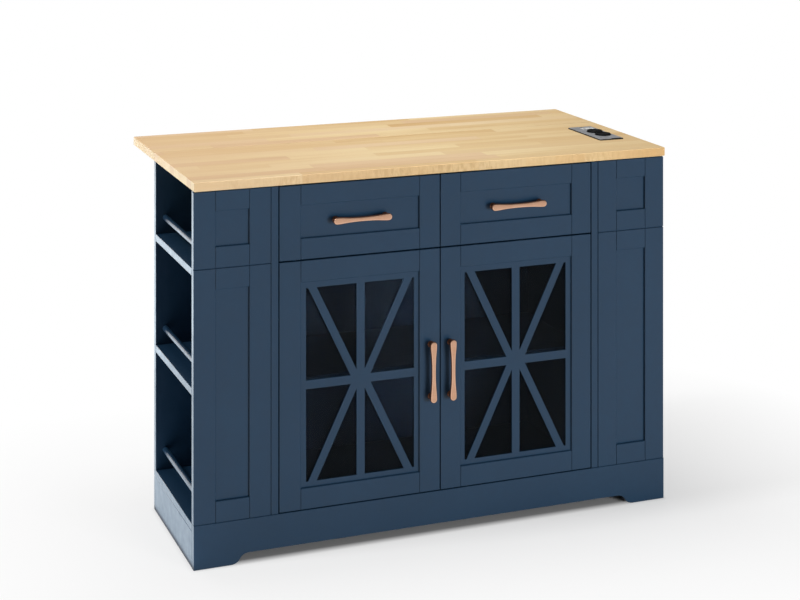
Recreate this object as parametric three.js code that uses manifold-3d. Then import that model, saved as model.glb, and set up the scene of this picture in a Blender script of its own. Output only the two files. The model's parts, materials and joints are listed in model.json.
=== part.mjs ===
// Kitchen island unit: a painted cabinet with two drawers over two lattice doors, an open
// rack at each end, a wooden worktop with a power outlet, and a drop leaf along the back.
// Millimetres, +Z up. Cabinet coordinates run from the front left foot: X to the right,
// Y from the front face to the back, Z up from the floor. The whole cabinet is then moved
// so that the origin lies under the middle of its bounding box, on the floor.
import * as THREE from 'three';
import { mergeVertices } from 'three/addons/utils/BufferGeometryUtils.js';
import Module from 'manifold-3d';

const wasm = await Module();
wasm.setup();

// ---------------------------------------------------------------- driving dimensions
const WIDTH = 1250;            // cabinet, over the two open racks
const DEPTH = 400;             // cabinet, front face to back face
const CARCASS_TOP = 888;       // underside of the worktop
const BOARD = 18;              // thickness of the carcass boards
const EDGE = 0.8;              // chamfer on painted edges

const WORKTOP_THICK = 22;
const WORKTOP_SIDE = 0.5;      // worktop past the cabinet's sides
const WORKTOP_FRONT = 7.5;     // worktop past the front face
const LEAF_WIDTH = 236;
const LEAF_SEAM = 1;           // slot between worktop and leaf
const WOOD_EDGE = 1.2;

const POST_WIDTH = 190;        // corner post, the closed front of a rack
const STILE = 53.5;            // upright members of every shaker frame
const RAIL = 50.5;             // level members of every shaker frame
const DOOR_TOP_RAIL = 52;      // upper members of the door frames
const PANEL_RECESS = 6.5;      // flat panels lie this far behind their frames
const MOUTH_EDGE = 1.3;        // chamfer on the front edges of recesses and openings
const JOINT = { width: 1.3, deep: 1.8 };         // between the members of a frame
const POST_SEAM = { width: 2.8, deep: 4 };       // level seam of a corner post
const POST_EDGE = { width: 1.4, deep: 3 };       // seam beside the partition
const TOP_SEAM = { height: 3.4, deep: 8 };       // dark line under the worktop
const FRONT_THICK = 20;        // doors and drawer fronts
const FRONT_GAP = 2.5;         // slot beside each door and drawer front
const DRAWER_GAP = 4.2;        // slot over the drawer fronts
const MIDDLE_GAP = 3.4;        // slot between drawers and doors
const DOOR_GAP = 1.6;          // slot under the doors
const SEAM_Z = 703.5;          // level of the slot between drawers and doors

const PLINTH_HEIGHT = 104;
const PLINTH_PROUD = 2;        // front plinth past the front face
const FOOT_FLAT = 93;          // part of the front plinth that stands on the floor
const FOOT_END = 132;          // where the curve of the foot reaches the cut-out
const CUTOUT_HEIGHT = 24;

const RACK_SHELF_TOPS = { upper: 705, lower: 423 };
const RACK_RAILS = { upper: 745.5, middle: 463.5, lower: 154 };   // heights of their axes
const RACK_RAIL_RADIUS = 7.2;
const RACK_RAIL_INSET = 25;    // axis, in from the open side

const SHELF_TOP = 404;         // shelf behind the doors
const SHELF_SETBACK = 60;
const DRAWER_SHELF_BOTTOM = 694;

// The middle of a lattice lies a little nearer to the middle of the cabinet, and lower, than
// the middle of its frame's opening. The corners of its openings are given from there: how
// far they reach, where the two edges of a diagonal leave the bars, and where they reach the
// border.
const LATTICE = {
  recess: 5.5, thick: 4, bar: 21.5, lap: 8, aside: 1, drop: 1.3, reachX: 139.2, reachZ: 232.5,
  lowEdge: { fromX: 26, toX: 134.3 }, highEdge: { fromZ: 24.1, toX: 112.2 },
};
const GLASS_THICK = 4;

const HANDLE = {
  length: 150, endWidth: 17, waist: 10.5, thick: 7, reach: 24, centres: 128,
  postRadius: 6.5, baseRadius: 8, fromEdge: 24.75, belowMiddle: 1.7,
};

const DRAWER = {
  side: 12, bottom: 6, low: 713, high: 838, length: 340, clear: 4, bottomLift: 9,
};
const RUNNER = { width: 20, height: 8, front: 40, back: 370, clear: 3 };

const OUTLET = {
  x: 1172.5, y: 232.5, width: 70, length: 192, flange: 2.2, plate: 0.8, rim: 1.6,
  bodyWidth: 54, bodyLength: 166, bodyDepth: 42, cornerRadius: 4,
};
const SOCKET = { radius: 21, height: 4.5, frontY: 199, rearY: 246.5, x: 1178 };
const USB = { x: 1181, y: 297, width: 34, length: 20, fromMiddle: 9 };

const CUP = { radius: 17.5, depth: 11.5, wall: 1.5, fromEdge: 22.5, endDistance: 90 };

// The leaf turns about a pin behind and below the seam. Each stay turns on the wall
// bracket, and its roller runs in a track under the leaf.
const LEAF_AXIS = { y: DEPTH + 13, z: CARCASS_TOP - 13 };
const STAY = { length: 150, half: 4.5, thick: 5, below: 55, inset: 5.5, lift: 6 };
const BRACKET_X = [250, WIDTH - 250];
const BRACKET_BOTTOM = 745;
const TRACK = { half: 10.5, wall: 2, deep: 13, start: 406, end: 626 };

// ---------------------------------------------------------------- materials
const paint = (color, roughness, metalness, opacity = 1) => new THREE.MeshStandardMaterial({
  color, roughness, metalness, opacity, transparent: opacity < 1,
});
const NAVY = paint(0x37475a, 0.45, 0);
const WOOD = paint(0xdec08f, 0.5, 0);
const PLY = paint(0xd9bd92, 0.6, 0);
const COPPER = paint(0xd29b78, 0.3, 0.9);
const STEEL = paint(0xb4b6b8, 0.35, 0.9);
const SILVER = paint(0xb9bcc0, 0.35, 0.7);
const BLACK = paint(0x17181a, 0.5, 0);
const WHITE = paint(0xc8c9c6, 0.5, 0);
const DARK_GLASS = paint(0x1b2126, 0.05, 0, 0.55);

// ---------------------------------------------------------------- solids
function toSolid(geometry) {
  const bare = geometry.clone();
  bare.deleteAttribute('normal');
  bare.deleteAttribute('uv');
  const merged = mergeVertices(bare, 1e-4);
  return new wasm.Manifold(new wasm.Mesh({
    numProp: 3,
    vertProperties: new Float32Array(merged.attributes.position.array),
    triVerts: new Uint32Array(merged.index.array),
  }));
}

function toGeometry(solid) {
  const { vertProperties, triVerts } = solid.getMesh();
  const geometry = new THREE.BufferGeometry();
  geometry.setAttribute('position', new THREE.BufferAttribute(vertProperties, 3));
  geometry.setIndex(new THREE.BufferAttribute(triVerts, 1));
  geometry.computeVertexNormals();
  return geometry;
}

const cabinet = new THREE.Group();
const PAST = 1;                // cutting tools run past a face by this

function add(name, shape, material) {
  const geometry = shape.isBufferGeometry ? shape : toGeometry(shape);
  const mesh = new THREE.Mesh(geometry, material);
  mesh.name = name;
  cabinet.add(mesh);
}

// A box given by its ranges, with plain edges.
function block([x0, x1], [y0, y1], [z0, z1]) {
  const box = new THREE.BoxGeometry(x1 - x0, y1 - y0, z1 - z0);
  return box.translate((x0 + x1) / 2, (y0 + y1) / 2, (z0 + z1) / 2);
}

// A board given by its ranges, with every edge chamfered.
function board([x0, x1], [y0, y1], [z0, z1], edge = EDGE) {
  const [w, d] = [x1 - x0, y1 - y0];
  const outline = new THREE.Shape([
    [edge, 0], [w - edge, 0], [w, edge], [w, d - edge],
    [w - edge, d], [edge, d], [0, d - edge], [0, edge],
  ].map(([x, y]) => new THREE.Vector2(x, y)));
  const body = new THREE.ExtrudeGeometry(outline, {
    depth: z1 - z0 - 2 * edge, bevelThickness: edge, bevelSize: edge, bevelOffset: -edge,
    bevelSegments: 1,
  });
  return body.translate(x0, y0, z0 + edge);
}

// An outline drawn in X and Z, made solid from its front face at y0 back to y1.
function slab(outline, [y0, y1], edge = 0, steps = 12) {
  const body = new THREE.ExtrudeGeometry(outline, {
    depth: y1 - y0 - 2 * edge, bevelEnabled: edge > 0, bevelThickness: edge,
    bevelSize: edge, bevelOffset: -edge, bevelSegments: 1, curveSegments: steps,
  });
  return body.rotateX(Math.PI / 2).translate(0, y1 - edge, 0);
}

// An outline drawn in Y and Z, made solid from x0 to x1.
function sideSlab(outline, [x0, x1], steps = 12) {
  const body = new THREE.ExtrudeGeometry(outline, {
    depth: x1 - x0, bevelEnabled: false, curveSegments: steps,
  });
  return body.rotateZ(Math.PI / 2).rotateY(Math.PI / 2).translate(x0, 0, 0);
}

// An outline drawn in X and Y, made solid from z0 to z1.
function flatSlab(outline, [z0, z1], steps = 6) {
  const body = new THREE.ExtrudeGeometry(outline, {
    depth: z1 - z0, bevelEnabled: false, curveSegments: steps,
  });
  return body.translate(0, 0, z0);
}

function rectangle([x0, x1], [z0, z1]) {
  return new THREE.Shape([[x0, z0], [x1, z0], [x1, z1], [x0, z1]]
    .map(([x, z]) => new THREE.Vector2(x, z)));
}

function roundedRectangle([x0, x1], [y0, y1], radius) {
  const outline = new THREE.Shape();
  outline.absarc(x1 - radius, y1 - radius, radius, 0, Math.PI / 2);
  outline.absarc(x0 + radius, y1 - radius, radius, Math.PI / 2, Math.PI);
  outline.absarc(x0 + radius, y0 + radius, radius, Math.PI, 1.5 * Math.PI);
  outline.absarc(x1 - radius, y0 + radius, radius, 1.5 * Math.PI, 2 * Math.PI);
  return outline;
}

// A profile of [radius, y] pairs, bottom to top, turned about a Y axis at (x, z).
function turned(profile, x, z, segments = 24) {
  const points = profile.map(([r, y]) => new THREE.Vector2(r, y));
  return toSolid(new THREE.LatheGeometry(points, segments)).translate([x, 0, z]);
}

// A cylinder along X.
function pin(radius, [x0, x1], y, z, segments = 16) {
  const body = new THREE.CylinderGeometry(radius, radius, x1 - x0, segments);
  return toSolid(body.rotateZ(Math.PI / 2).translate((x0 + x1) / 2, y, z));
}

// What cuts a slot into a front face at y = 0.
const slot = (rangeX, rangeZ, deep) => toSolid(block(rangeX, [-PAST, deep], rangeZ));

// What chamfers the front edges of an opening in a front face at y = 0.
function mouth([x0, x1], [z0, z1]) {
  const grow = MOUTH_EDGE + PAST;
  const outline = rectangle([x0 - grow, x1 + grow], [z0 - grow, z1 + grow]);
  return toSolid(slab(outline, [-3 * grow, MOUTH_EDGE], grow));
}

// What cuts a recess for a flat panel, with chamfered front edges.
const panelCut = (rangeX, rangeZ) => slot(rangeX, rangeZ, PANEL_RECESS)
  .add(mouth(rangeX, rangeZ));

const around = (middle, width) => [middle - width / 2, middle + width / 2];
const cutAll = (body, tools) => tools.reduce((solid, tool) => solid.subtract(tool), body);
const joinAll = (parts) => parts.reduce((solid, part) => solid.add(part));

// ---------------------------------------------------------------- shared places
const INNER_LEFT = POST_WIDTH + BOARD;            // inside face of the left partition
const INNER_RIGHT = WIDTH - INNER_LEFT;
const BACK_FACE = DEPTH - BOARD;                  // front face of the back panel
const DOOR_WIDTH = (INNER_RIGHT - INNER_LEFT - 3 * FRONT_GAP) / 2;
const DRAWER_Z = [SEAM_Z + MIDDLE_GAP / 2, CARCASS_TOP - DRAWER_GAP];
const DOOR_Z = [PLINTH_HEIGHT + DOOR_GAP, SEAM_Z - MIDDLE_GAP / 2];
const WORKTOP_X = [-WORKTOP_SIDE, WIDTH + WORKTOP_SIDE];
const WORKTOP_Z = [CARCASS_TOP, CARCASS_TOP + WORKTOP_THICK];
const LEAF_Y = [DEPTH + LEAF_SEAM, DEPTH + LEAF_SEAM + LEAF_WIDTH];

// The range [a, b] as it is, or seen in the mirror at the cabinet's middle.
const mirrored = (side, [a, b]) => (side === 'left' ? [a, b] : [WIDTH - b, WIDTH - a]);
const mirroredX = (side, x) => (side === 'left' ? x : WIDTH - x);
const frontRange = (side) => mirrored(
  side, [INNER_LEFT + FRONT_GAP, INNER_LEFT + FRONT_GAP + DOOR_WIDTH],
);

// ---------------------------------------------------------------- carcass
function addCarcass() {
  const upright = [PLINTH_HEIGHT, CARCASS_TOP];
  add('bottom_panel', board([0, WIDTH], [BOARD - PLINTH_PROUD, DEPTH],
    [PLINTH_HEIGHT - BOARD, PLINTH_HEIGHT]), NAVY);
  add('back_panel', board([0, WIDTH], [BACK_FACE, DEPTH], upright), NAVY);
  for (const side of ['left', 'right']) {
    const range = mirrored(side, [POST_WIDTH, INNER_LEFT]);
    const partition = toSolid(board(range, [0, BACK_FACE], upright));
    add(`partition_${side}`, partition.subtract(topSeam(range)), NAVY);
    add(`corner_post_${side}`, cornerPost(side), NAVY);
  }
  const inside = [INNER_LEFT, INNER_RIGHT];
  const behindFronts = [FRONT_THICK + 1, BACK_FACE];
  const drawerFloor = DRAWER_SHELF_BOTTOM + BOARD;
  add('drawer_shelf', board(inside, behindFronts, [DRAWER_SHELF_BOTTOM, drawerFloor]), NAVY);
  add('drawer_divider', board([(WIDTH - BOARD) / 2, (WIDTH + BOARD) / 2], behindFronts,
    [drawerFloor, CARCASS_TOP]), NAVY);
  add('inner_shelf', board(inside, [SHELF_SETBACK, BACK_FACE],
    [SHELF_TOP - BOARD, SHELF_TOP]), NAVY);
}

// The seam that keeps an upright's front top corner clear of the worktop.
const topSeam = ([x0, x1]) => slot([x0 - PAST, x1 + PAST],
  [CARCASS_TOP - TOP_SEAM.height, CARCASS_TOP + PAST], TOP_SEAM.deep);

// The closed front of a rack: a short panelled section over a tall one, with the joints of
// their stiles and rails.
function cornerPost(side) {
  const range = mirrored(side, [0, POST_WIDTH]);
  const panel = [range[0] + STILE, range[1] - STILE];
  const short = [SEAM_Z + RAIL, CARCASS_TOP - RAIL];
  const tall = [PLINTH_HEIGHT + RAIL, SEAM_Z - RAIL];
  const rails = [[PLINTH_HEIGHT - PAST, tall[0]], [tall[1], SEAM_Z], [SEAM_Z, short[0]],
    [short[1], CARCASS_TOP + PAST]];
  const body = toSolid(board(range, [0, BOARD], [PLINTH_HEIGHT, CARCASS_TOP]));
  return cutAll(body, [
    panelCut(panel, short),
    panelCut(panel, tall),
    ...rails.flatMap((rail) => panel.map(
      (x) => slot(around(x, JOINT.width), rail, JOINT.deep))),
    slot([range[0] - PAST, range[1] + PAST], around(SEAM_Z, POST_SEAM.width),
      POST_SEAM.deep),
    slot(mirrored(side, [POST_WIDTH - POST_EDGE.width, POST_WIDTH + PAST]),
      [PLINTH_HEIGHT - PAST, CARCASS_TOP + PAST], POST_EDGE.deep),
    topSeam(range),
  ]);
}

// ---------------------------------------------------------------- plinth
function addPlinth() {
  const back = BOARD - PLINTH_PROUD;
  add('plinth_front', slab(plinthOutline(0, WIDTH), [-PLINTH_PROUD, back], EDGE, 5), NAVY);
  const low = [0, PLINTH_HEIGHT - BOARD];
  for (const side of ['left', 'right']) {
    add(`plinth_${side}`, board(mirrored(side, [0, BOARD]), [back, DEPTH], low), NAVY);
  }
  add('plinth_back', board([BOARD, WIDTH - BOARD], [BACK_FACE, DEPTH], low), NAVY);
}

// The front plinth stands on two feet, and an S curve leads from each up to the cut-out.
function plinthOutline(x0, x1) {
  const half = (FOOT_END - FOOT_FLAT) / 2;
  const rise = CUTOUT_HEIGHT / 2;
  const outline = new THREE.Shape();
  outline.moveTo(x0, 0);
  outline.lineTo(FOOT_FLAT, 0);
  outline.quadraticCurveTo(FOOT_FLAT + 0.75 * half, 0.15 * rise, FOOT_FLAT + half, rise);
  outline.quadraticCurveTo(FOOT_END - 0.75 * half, 1.85 * rise, FOOT_END, CUTOUT_HEIGHT);
  outline.lineTo(WIDTH - FOOT_END, CUTOUT_HEIGHT);
  outline.quadraticCurveTo(WIDTH - FOOT_END + 0.75 * half, 1.85 * rise,
    WIDTH - FOOT_FLAT - half, rise);
  outline.quadraticCurveTo(WIDTH - FOOT_FLAT - 0.75 * half, 0.15 * rise,
    WIDTH - FOOT_FLAT, 0);
  outline.lineTo(x1, 0);
  outline.lineTo(x1, PLINTH_HEIGHT);
  outline.lineTo(x0, PLINTH_HEIGHT);
  return outline;
}

// ---------------------------------------------------------------- open racks
function addRacks() {
  for (const side of ['left', 'right']) {
    const range = mirrored(side, [0, POST_WIDTH]);
    for (const [level, top] of Object.entries(RACK_SHELF_TOPS)) {
      add(`rack_shelf_${side}_${level}`, board(range, [BOARD, BACK_FACE], [top - BOARD, top]),
        NAVY);
    }
    for (const [level, z] of Object.entries(RACK_RAILS)) {
      const rail = new THREE.CylinderGeometry(
        RACK_RAIL_RADIUS, RACK_RAIL_RADIUS, BACK_FACE - BOARD, 20,
      );
      rail.translate(mirroredX(side, RACK_RAIL_INSET), (BOARD + BACK_FACE) / 2, z);
      add(`rack_rail_${side}_${level}`, rail, NAVY);
    }
  }
}

// ---------------------------------------------------------------- worktop and outlet
const outletRange = (width, length) => [
  [OUTLET.x - width / 2, OUTLET.x + width / 2],
  [OUTLET.y - length / 2, OUTLET.y + length / 2],
];

function addWorktop() {
  const top = toSolid(board(WORKTOP_X, [-WORKTOP_FRONT, DEPTH], WORKTOP_Z, WOOD_EDGE));
  const hole = outletRange(OUTLET.bodyWidth + 2, OUTLET.bodyLength + 2);
  add('worktop', top.subtract(toSolid(block(...hole, [CARCASS_TOP - PAST,
    WORKTOP_Z[1] + PAST]))), WOOD);
  add('drop_leaf', board(WORKTOP_X, LEAF_Y, WORKTOP_Z, WOOD_EDGE), WOOD);
}

function addOutlet() {
  const surface = WORKTOP_Z[1];
  const flangeTop = surface + OUTLET.flange;
  const plateTop = flangeTop + OUTLET.plate;
  const usbHole = [around(USB.x, USB.width), around(USB.y, USB.length)];
  const port = (x) => toSolid(block(around(x, 5), around(USB.y, 12),
    [flangeTop - 6, plateTop + PAST]));
  const lead = toSolid(new THREE.CylinderGeometry(6, 5, 12, 16)
    .rotateX(Math.PI / 2).translate(OUTLET.x, OUTLET.y + 40, surface - OUTLET.bodyDepth - 6));

  const flange = toSolid(flatSlab(roundedRectangle(
    ...outletRange(OUTLET.width, OUTLET.length), OUTLET.cornerRadius), [surface, flangeTop]));
  const box = toSolid(block(...outletRange(OUTLET.bodyWidth, OUTLET.bodyLength),
    [surface - OUTLET.bodyDepth, surface + 1]));
  const usbWell = toSolid(block(...usbHole, [flangeTop - 8, flangeTop + PAST]));
  add('outlet_housing', flange.add(box).add(lead).subtract(usbWell), BLACK);

  const coverRange = outletRange(OUTLET.width - 2 * OUTLET.rim,
    OUTLET.length - 2 * OUTLET.rim);
  const through = [flangeTop - PAST, plateTop + PAST];
  const cover = toSolid(flatSlab(roundedRectangle(...coverRange,
    OUTLET.cornerRadius - OUTLET.rim), [flangeTop, plateTop]));
  const frontNotch = block([OUTLET.x, coverRange[0][1] - 3],
    [coverRange[1][0] - PAST, coverRange[1][0] + 7.5], through);
  const rearNotch = block([OUTLET.x - 3, OUTLET.x + 13],
    [coverRange[1][1] - 6, coverRange[1][1] + PAST], through);
  add('outlet_plate', cutAll(cover, [toSolid(frontNotch), toSolid(rearNotch),
    toSolid(block(...usbHole, through))]), SILVER);

  const slip = 0.3;
  const insert = toSolid(block(usbHole[0].map((x, i) => x + (i ? -slip : slip)),
    usbHole[1].map((y, i) => y + (i ? -slip : slip)), [flangeTop - 8, plateTop + 0.4]));
  add('outlet_usb_ports', cutAll(insert, [port(USB.x - USB.fromMiddle),
    port(USB.x + USB.fromMiddle)]), WHITE);

  add('outlet_socket_front', socket(SOCKET.frontY, plateTop), BLACK);
  add('outlet_socket_rear', socket(SOCKET.rearY, plateTop), BLACK);
}

// A round raised socket with a dished face, two blade slots and an earth hole.
function socket(y, base) {
  const { radius, height } = SOCKET;
  const profile = [[0, 0], [radius, 0], [radius, height - 1.5], [radius - 1.5, height],
    [radius - 3, height], [radius - 5, height - 2], [0, height - 2]];
  const points = profile.map(([r, z]) => new THREE.Vector2(r, z));
  const disc = toSolid(new THREE.LatheGeometry(points, 32).rotateX(Math.PI / 2));
  const slot = (x) => toSolid(block([x - 1.2, x + 1.2], [-1, 7], [1, height]));
  const earth = toSolid(new THREE.CylinderGeometry(2.6, 2.6, height, 12)
    .rotateX(Math.PI / 2).translate(0, -8, 1 + height / 2));
  return cutAll(disc, [slot(-6), slot(6), earth]).translate([SOCKET.x, y, base]);
}

// ---------------------------------------------------------------- handles
// A pull whose bar is wide at both round ends and narrow at its waist, on two turned
// posts. It is drawn level, centred on the origin, with the surface it stands on at y = 0.
function handle() {
  const { length, endWidth, waist, thick, reach, centres } = HANDLE;
  const end = endWidth / 2;
  const outline = new THREE.Shape();
  const shoulder = length / 2 - end;
  outline.absarc(shoulder, 0, end, -Math.PI / 2, Math.PI / 2);
  outline.bezierCurveTo(shoulder - 18, end, shoulder - 22, waist / 2, 0, waist / 2);
  outline.bezierCurveTo(-shoulder + 22, waist / 2, -shoulder + 18, end, -shoulder, end);
  outline.absarc(-shoulder, 0, end, Math.PI / 2, 1.5 * Math.PI);
  outline.bezierCurveTo(-shoulder + 18, -end, -shoulder + 22, -waist / 2, 0, -waist / 2);
  outline.bezierCurveTo(shoulder - 22, -waist / 2, shoulder - 18, -end, shoulder, -end);
  const bar = toSolid(slab(outline, [-reach, thick - reach], 1.5, 8));
  const post = [[0, 1 + thick - reach - 2], [HANDLE.postRadius, thick - reach - 1],
    [HANDLE.postRadius, -6], [HANDLE.baseRadius, 0], [0, 0]];
  return joinAll([bar, turned(post, -centres / 2, 0, 20), turned(post, centres / 2, 0, 20)]);
}

// ---------------------------------------------------------------- doors
const cupHeights = [DOOR_Z[0] + CUP.endDistance, DOOR_Z[1] - CUP.endDistance];
const cupX = (side) => mirroredX(side, INNER_LEFT + FRONT_GAP + CUP.fromEdge);

function addDoor(side) {
  const range = frontRange(side);
  const opening = [range[0] + STILE, range[1] - STILE];
  const openingZ = [DOOR_Z[0] + RAIL, DOOR_Z[1] - DOOR_TOP_RAIL];
  const rebate = [opening[0] - LATTICE.lap, opening[1] + LATTICE.lap];
  const rebateZ = [openingZ[0] - LATTICE.lap, openingZ[1] + LATTICE.lap];

  const frame = rectangle(range, DOOR_Z);
  frame.holes.push(rectangle(opening, openingZ));
  const throughDoor = [LATTICE.recess, FRONT_THICK + PAST];
  const pocket = [[0, FRONT_THICK - CUP.depth - 0.3],
    [CUP.radius + 0.3, FRONT_THICK - CUP.depth - 0.3],
    [CUP.radius + 0.3, FRONT_THICK + PAST], [0, FRONT_THICK + PAST]];
  add(`door_frame_${side}`, cutAll(toSolid(slab(frame, [0, FRONT_THICK], EDGE)), [
    mouth(opening, openingZ),
    toSolid(block(rebate, throughDoor, rebateZ)),
    ...cupHeights.map((z) => turned(pocket, cupX(side), z)),
    ...[[DOOR_Z[0] - PAST, openingZ[0]], [openingZ[1], DOOR_Z[1] + PAST]].flatMap(
      (rail) => opening.map((x) => slot(around(x, JOINT.width), rail, JOINT.deep))),
  ]), NAVY);

  const fit = 0.5;
  const sheet = [[rebate[0] + fit, rebate[1] - fit], [rebateZ[0] + fit, rebateZ[1] - fit]];
  const front = LATTICE.recess;
  const glassFront = front + LATTICE.thick;
  add(`door_lattice_${side}`, slab(latticeOutline(side, sheet, opening, openingZ),
    [front, glassFront], 0.5), NAVY);
  add(`door_glass_${side}`,
    board(sheet[0], [glassFront, glassFront + GLASS_THICK], sheet[1], 0.3), DARK_GLASS);

  const pull = handle().rotate([0, 90, 0]).translate([
    side === 'left' ? range[1] - HANDLE.fromEdge : range[0] + HANDLE.fromEdge, 0,
    (DOOR_Z[0] + DOOR_Z[1]) / 2]);
  add(`door_handle_${side}`, pull, COPPER);
  cupHeights.forEach((z, i) => {
    const level = ['lower', 'upper'][i];
    add(`hinge_cup_${side}_${level}`, hingeCup(side, z), STEEL);
    add(`hinge_arm_${side}_${level}`, hingeArm(side, z), STEEL);
  });
}

// The cut sheet over the glass: a border, an upright bar, a level bar and two diagonals
// that cross in the middle, so eight openings are left.
function latticeOutline(side, [rangeX, rangeZ], opening, openingZ) {
  const outline = rectangle(rangeX, rangeZ);
  const inward = side === 'left' ? 1 : -1;
  const centre = [(opening[0] + opening[1]) / 2 + inward * LATTICE.aside,
    (openingZ[0] + openingZ[1]) / 2 - LATTICE.drop];
  const half = LATTICE.bar / 2;
  const { lowEdge, highEdge, reachX: w, reachZ: h } = LATTICE;
  const besideBar = [[lowEdge.fromX, half], [w, half], [w, h], [lowEdge.toX, h]];
  const overBar = [[half, highEdge.fromZ], [highEdge.toX, h], [half, h]];
  for (const [sx, sz] of [[1, 1], [1, -1], [-1, 1], [-1, -1]]) {
    for (const corner of [besideBar, overBar]) {
      outline.holes.push(new THREE.Path(corner.map(
        ([x, z]) => new THREE.Vector2(centre[0] + sx * x, centre[1] + sz * z))));
    }
  }
  return outline;
}

// A hinge cup let into the back of the door, with its flange and the stub of its link.
function hingeCup(side, z) {
  const { radius, depth, wall } = CUP;
  const floor = FRONT_THICK - depth;
  const x = cupX(side);
  const cup = turned([[0, floor], [radius, floor], [radius, FRONT_THICK],
    [radius - wall, FRONT_THICK], [radius - wall, floor + wall], [0, floor + wall]], x, z);
  const ring = toSolid(slab(roundedRectangle([x - 20, x + 20], [z - 26, z + 26], 10),
    [FRONT_THICK, FRONT_THICK + 1.5], 0, 4));
  const hole = turned([[0, FRONT_THICK - PAST], [radius - wall, FRONT_THICK - PAST],
    [radius - wall, FRONT_THICK + 3], [0, FRONT_THICK + 3]], x, z);
  const stub = mirrored(side, [cupX('left') - 5, cupX('left') + 3]);
  const link = toSolid(block(stub, [floor + 1, FRONT_THICK + 10], [z - 5, z + 5]));
  return cup.add(ring.subtract(hole)).add(link);
}

// The cranked arm on the inside of the partition that reaches towards the cup.
function hingeArm(side, z) {
  const x = INNER_LEFT;
  const outline = new THREE.Shape([[x, 46], [x + 2.5, 46], [x + 2.5, 54], [x + 9, 36],
    [x + 16, 34], [x + 15, 58], [x + 12, 86], [x + 2.5, 90], [x + 2.5, 98], [x, 98]]
    .map(([px, y]) => new THREE.Vector2(mirroredX(side, px), y)));
  return flatSlab(outline, [z - 7, z + 7]);
}

// ---------------------------------------------------------------- drawers
function addDrawer(side) {
  const range = frontRange(side);
  const panel = [range[0] + STILE, range[1] - STILE];
  const panelZ = [DRAWER_Z[0] + RAIL, CARCASS_TOP - FRONT_GAP - RAIL];
  const rails = [[DRAWER_Z[0] - PAST, panelZ[0]], [panelZ[1], DRAWER_Z[1] + PAST]];
  add(`drawer_front_${side}`, cutAll(toSolid(board(range, [0, FRONT_THICK], DRAWER_Z)), [
    panelCut(panel, panelZ),
    ...rails.flatMap((rail) => panel.map(
      (x) => slot(around(x, JOINT.width), rail, JOINT.deep))),
  ]), NAVY);

  const bay = mirrored(side, [INNER_LEFT, (WIDTH - BOARD) / 2]);
  const boxX = [bay[0] + DRAWER.clear, bay[1] - DRAWER.clear];
  const middle = (boxX[0] + boxX[1]) / 2;
  add(`drawer_box_${side}`, drawerBox(boxX, middle), PLY);
  const floor = DRAWER_SHELF_BOTTOM + BOARD;
  add(`drawer_runner_${side}`, board([middle - RUNNER.width / 2, middle + RUNNER.width / 2],
    [RUNNER.front, RUNNER.back], [floor, floor + RUNNER.height]), PLY);
  add(`drawer_handle_${side}`, handle().translate([(range[0] + range[1]) / 2, PANEL_RECESS,
    (panelZ[0] + panelZ[1]) / 2 - HANDLE.belowMiddle]), COPPER);
}

// Four walls and a bottom set into them, with a notch in the back for the runner.
function drawerBox(boxX, middle) {
  const y = [FRONT_THICK, FRONT_THICK + DRAWER.length];
  const bottom = [DRAWER.low + DRAWER.bottomLift, DRAWER.low + DRAWER.bottomLift
    + DRAWER.bottom];
  const insideX = [boxX[0] + DRAWER.side, boxX[1] - DRAWER.side];
  const insideY = [y[0] + DRAWER.side, y[1] - DRAWER.side];
  const reach = RUNNER.width / 2 + RUNNER.clear;
  return cutAll(toSolid(board(boxX, y, [DRAWER.low, DRAWER.high])), [
    toSolid(block(insideX, insideY, [bottom[1], DRAWER.high + PAST])),
    toSolid(block(insideX, insideY, [DRAWER.low - PAST, bottom[0]])),
    toSolid(block([middle - reach, middle + reach], [insideY[1] - PAST, y[1] + PAST],
      [DRAWER.low - PAST, bottom[0]])),
  ]);
}

// ---------------------------------------------------------------- drop leaf supports
// Where the stay stands with the leaf raised: its pivot on the wall bracket and its
// roller in the track.
const stayPivot = { y: LEAF_AXIS.y - STAY.inset, z: LEAF_AXIS.z - STAY.below };
const stayRise = STAY.below + STAY.lift;
const stayTip = {
  y: stayPivot.y + Math.sqrt(STAY.length ** 2 - stayRise ** 2), z: stayPivot.z + stayRise,
};

function addLeafSupport(side, x) {
  add(`leaf_bracket_${side}`, leafBracket(x), STEEL);
  add(`leaf_track_${side}`, leafTrack(x), STEEL);
  add(`leaf_stay_${side}`, leafStay(x), STEEL);
}

// A channel screwed to the back panel. Its two cheeks carry the leaf's pin and the pin
// that the stay turns on.
function leafBracket(x) {
  const [inner, outer] = [TRACK.half + 0.5, TRACK.half + 0.5 + TRACK.wall];
  const web = toSolid(block([x - outer, x + outer], [DEPTH, DEPTH + TRACK.wall],
    [BRACKET_BOTTOM, LEAF_AXIS.z + 8]));
  const cheek = new THREE.Shape();
  cheek.moveTo(DEPTH, BRACKET_BOTTOM);
  cheek.lineTo(DEPTH + 12, BRACKET_BOTTOM + 10);
  cheek.lineTo(DEPTH + 12, LEAF_AXIS.z - 14);
  cheek.lineTo(LEAF_AXIS.y + 6, LEAF_AXIS.z - 4);
  cheek.absarc(LEAF_AXIS.y, LEAF_AXIS.z, 6.5, -0.6, Math.PI / 2);
  cheek.lineTo(DEPTH, LEAF_AXIS.z + 8);
  const cheeks = [[x - outer, x - inner], [x + inner, x + outer]]
    .map((range) => toSolid(sideSlab(cheek, range, 6)));
  const across = [x - outer - 2, x + outer + 2];
  return joinAll([web, ...cheeks, pin(3, across, LEAF_AXIS.y, LEAF_AXIS.z),
    pin(2.5, across, stayPivot.y, stayPivot.z)]);
}

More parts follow.
